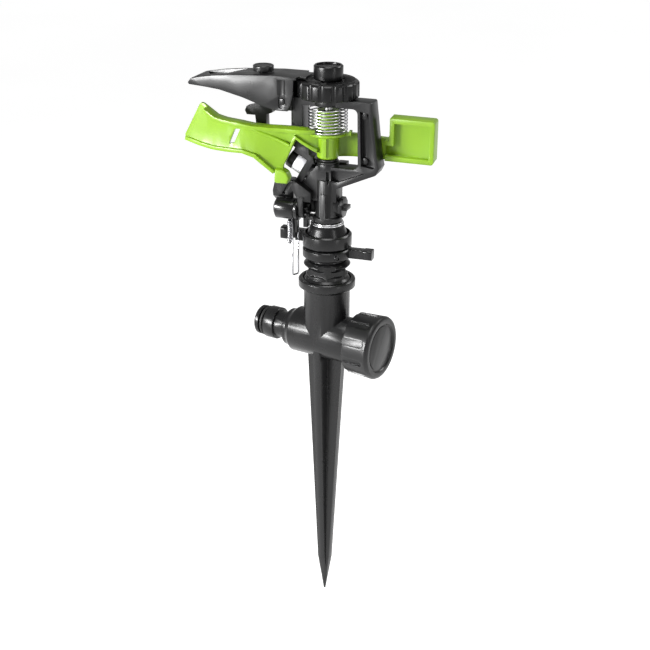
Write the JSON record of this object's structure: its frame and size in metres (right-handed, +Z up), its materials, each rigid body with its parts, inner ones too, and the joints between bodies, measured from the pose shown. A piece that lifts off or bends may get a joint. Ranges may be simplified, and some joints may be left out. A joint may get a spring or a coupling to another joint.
{
  "type": "impact sprinkler",
  "caption": "Impulse sprinkler: sprung drive arm, diffuser flap, range dial and trip lever on a turning head, over a tee with hose connector, screw cap and ground spike",
  "frame": {"origin": "on the riser's axis at ground level, where the spike enters the soil under the tee", "axes": "+Z up the riser, +X along the tee towards the screw cap, so the hose connector points along -X; the nozzle and the drive arm's vane stand on the -X side, turned a little towards -Y"},
  "size_m": [0.1248, 0.0543, 0.3067],
  "materials": {
    "tee_plastic": "fine satin moulding",
    "cap_plastic": "fine satin moulding",
    "bearing_plastic": "satin moulding",
    "collar_plastic": "satin moulding",
    "head_plastic": "semi-gloss moulding",
    "dial_plastic": "semi-gloss moulding",
    "flap_plastic": "glossy moulding",
    "trip_plastic": "semi-gloss moulding",
    "arm_plastic": "satin lime green moulding",
    "nozzle_plastic": "smooth white moulding",
    "washer_plastic": "smooth",
    "seal_rubber": "soft rubber",
    "spring_steel": "bright drawn wire",
    "ring_steel": "bright steel"
  },
  "bodies": {
    "base": {"spike_tee": "tee_plastic", "inlet_o_ring": "seal_rubber", "riser_gasket": "seal_rubber", "riser_bearing": "bearing_plastic"},
    "cap_seal": {"end_cap_seal": "seal_rubber"},
    "end_cap": {"end_cap": "cap_plastic"},
    "upper_collar": {"upper_stop_collar": "collar_plastic"},
    "lower_collar": {"lower_stop_collar": "collar_plastic"},
    "head": {"head_body": "head_plastic", "bearing_stem": "bearing_plastic", "thrust_washers": "washer_plastic", "bearing_spring": "spring_steel", "dust_sleeve": "collar_plastic", "sleeve_rings": "ring_steel", "nozzle": "nozzle_plastic", "nozzle_ring": "collar_plastic", "stream_straightener": "nozzle_plastic", "rear_plug": "collar_plastic", "rear_plug_seal": "seal_rubber", "fulcrum_pin": "ring_steel", "hub_washers": "washer_plastic", "arm_spring": "spring_steel", "dial_washer": "washer_plastic", "top_cap": "dial_plastic", "cap_disc": "dial_plastic", "flap_pin": "trip_plastic", "trip_bracket": "head_plastic", "trip_pin": "ring_steel", "trip_screw": "collar_plastic"},
    "arm": {"drive_arm": "arm_plastic", "arm_bush": "washer_plastic"},
    "dial": {"range_dial": "dial_plastic"},
    "flap": {"diffuser_flap": "flap_plastic"},
    "adjuster": {"jet_screw": "flap_plastic", "deflector_vane": "dial_plastic"},
    "trip": {"trip_drum": "trip_plastic", "reverse_lever": "trip_plastic", "trip_wire": "spring_steel", "trip_spring": "spring_steel"}
  },
  "joints": [
    {"name": "end_cap_travel", "type": "slide", "parent": "base", "child": "cap_seal", "axis": [1, 0, 0], "range_m": [0, 0.009]},
    {"name": "end_cap_turn", "type": "hinge", "parent": "cap_seal", "child": "end_cap", "pos_m": [0.026, 0, 0.012], "axis": [1, 0, 0], "range_deg": [0, 1080]},
    {"name": "upper_collar_turn", "type": "hinge", "parent": "base", "child": "upper_collar", "pos_m": [0, 0, 0.0665], "axis": [0, 0, 1], "range_deg": [-60, 0]},
    {"name": "lower_collar_turn", "type": "hinge", "parent": "base", "child": "lower_collar", "pos_m": [0, 0, 0.06], "axis": [0, 0, 1], "range_deg": [0, 60]},
    {"name": "head_spin", "type": "hinge", "parent": "base", "child": "head", "pos_m": [0, 0, 0.075], "axis": [0, 0, 1], "range_deg": [0, 135]},
    {"name": "arm_swing", "type": "hinge", "parent": "head", "child": "arm", "pos_m": [0, 0, 0.122], "axis": [0, 0, 1], "range_deg": [0, 85], "stiffness_Nm_per_rad": 0.02, "springref_deg": -28.65},
    {"name": "dial_turn", "type": "hinge", "parent": "head", "child": "dial", "pos_m": [0, 0, 0.145], "axis": [0, 0, -1], "range_deg": [0, 270]},
    {"name": "flap_tilt", "type": "hinge", "parent": "head", "child": "flap", "pos_m": [-0.02083, -0.00443, 0.1384], "axis": [0.2079, -0.9781, 0], "range_deg": [0, 6]},
    {"name": "adjuster_turn", "type": "hinge", "parent": "flap", "child": "adjuster", "pos_m": [-0.03384, -0.00719, 0.147], "axis": [0, 0, 1], "range_deg": [-60, 0]},
    {"name": "trip_flip", "type": "hinge", "parent": "head", "child": "trip", "pos_m": [-0.01863, -0.00856, 0.0823], "axis": [-0.9781, -0.2079, 0], "range_deg": [0, 14]}
  ],
  "couplings": [
    {"joint": "end_cap_turn", "follows": "end_cap_travel", "rad_per_m": 2094},
    {"joint": "flap_tilt", "follows": "dial_turn", "ratio": 0.0222}
  ]
}
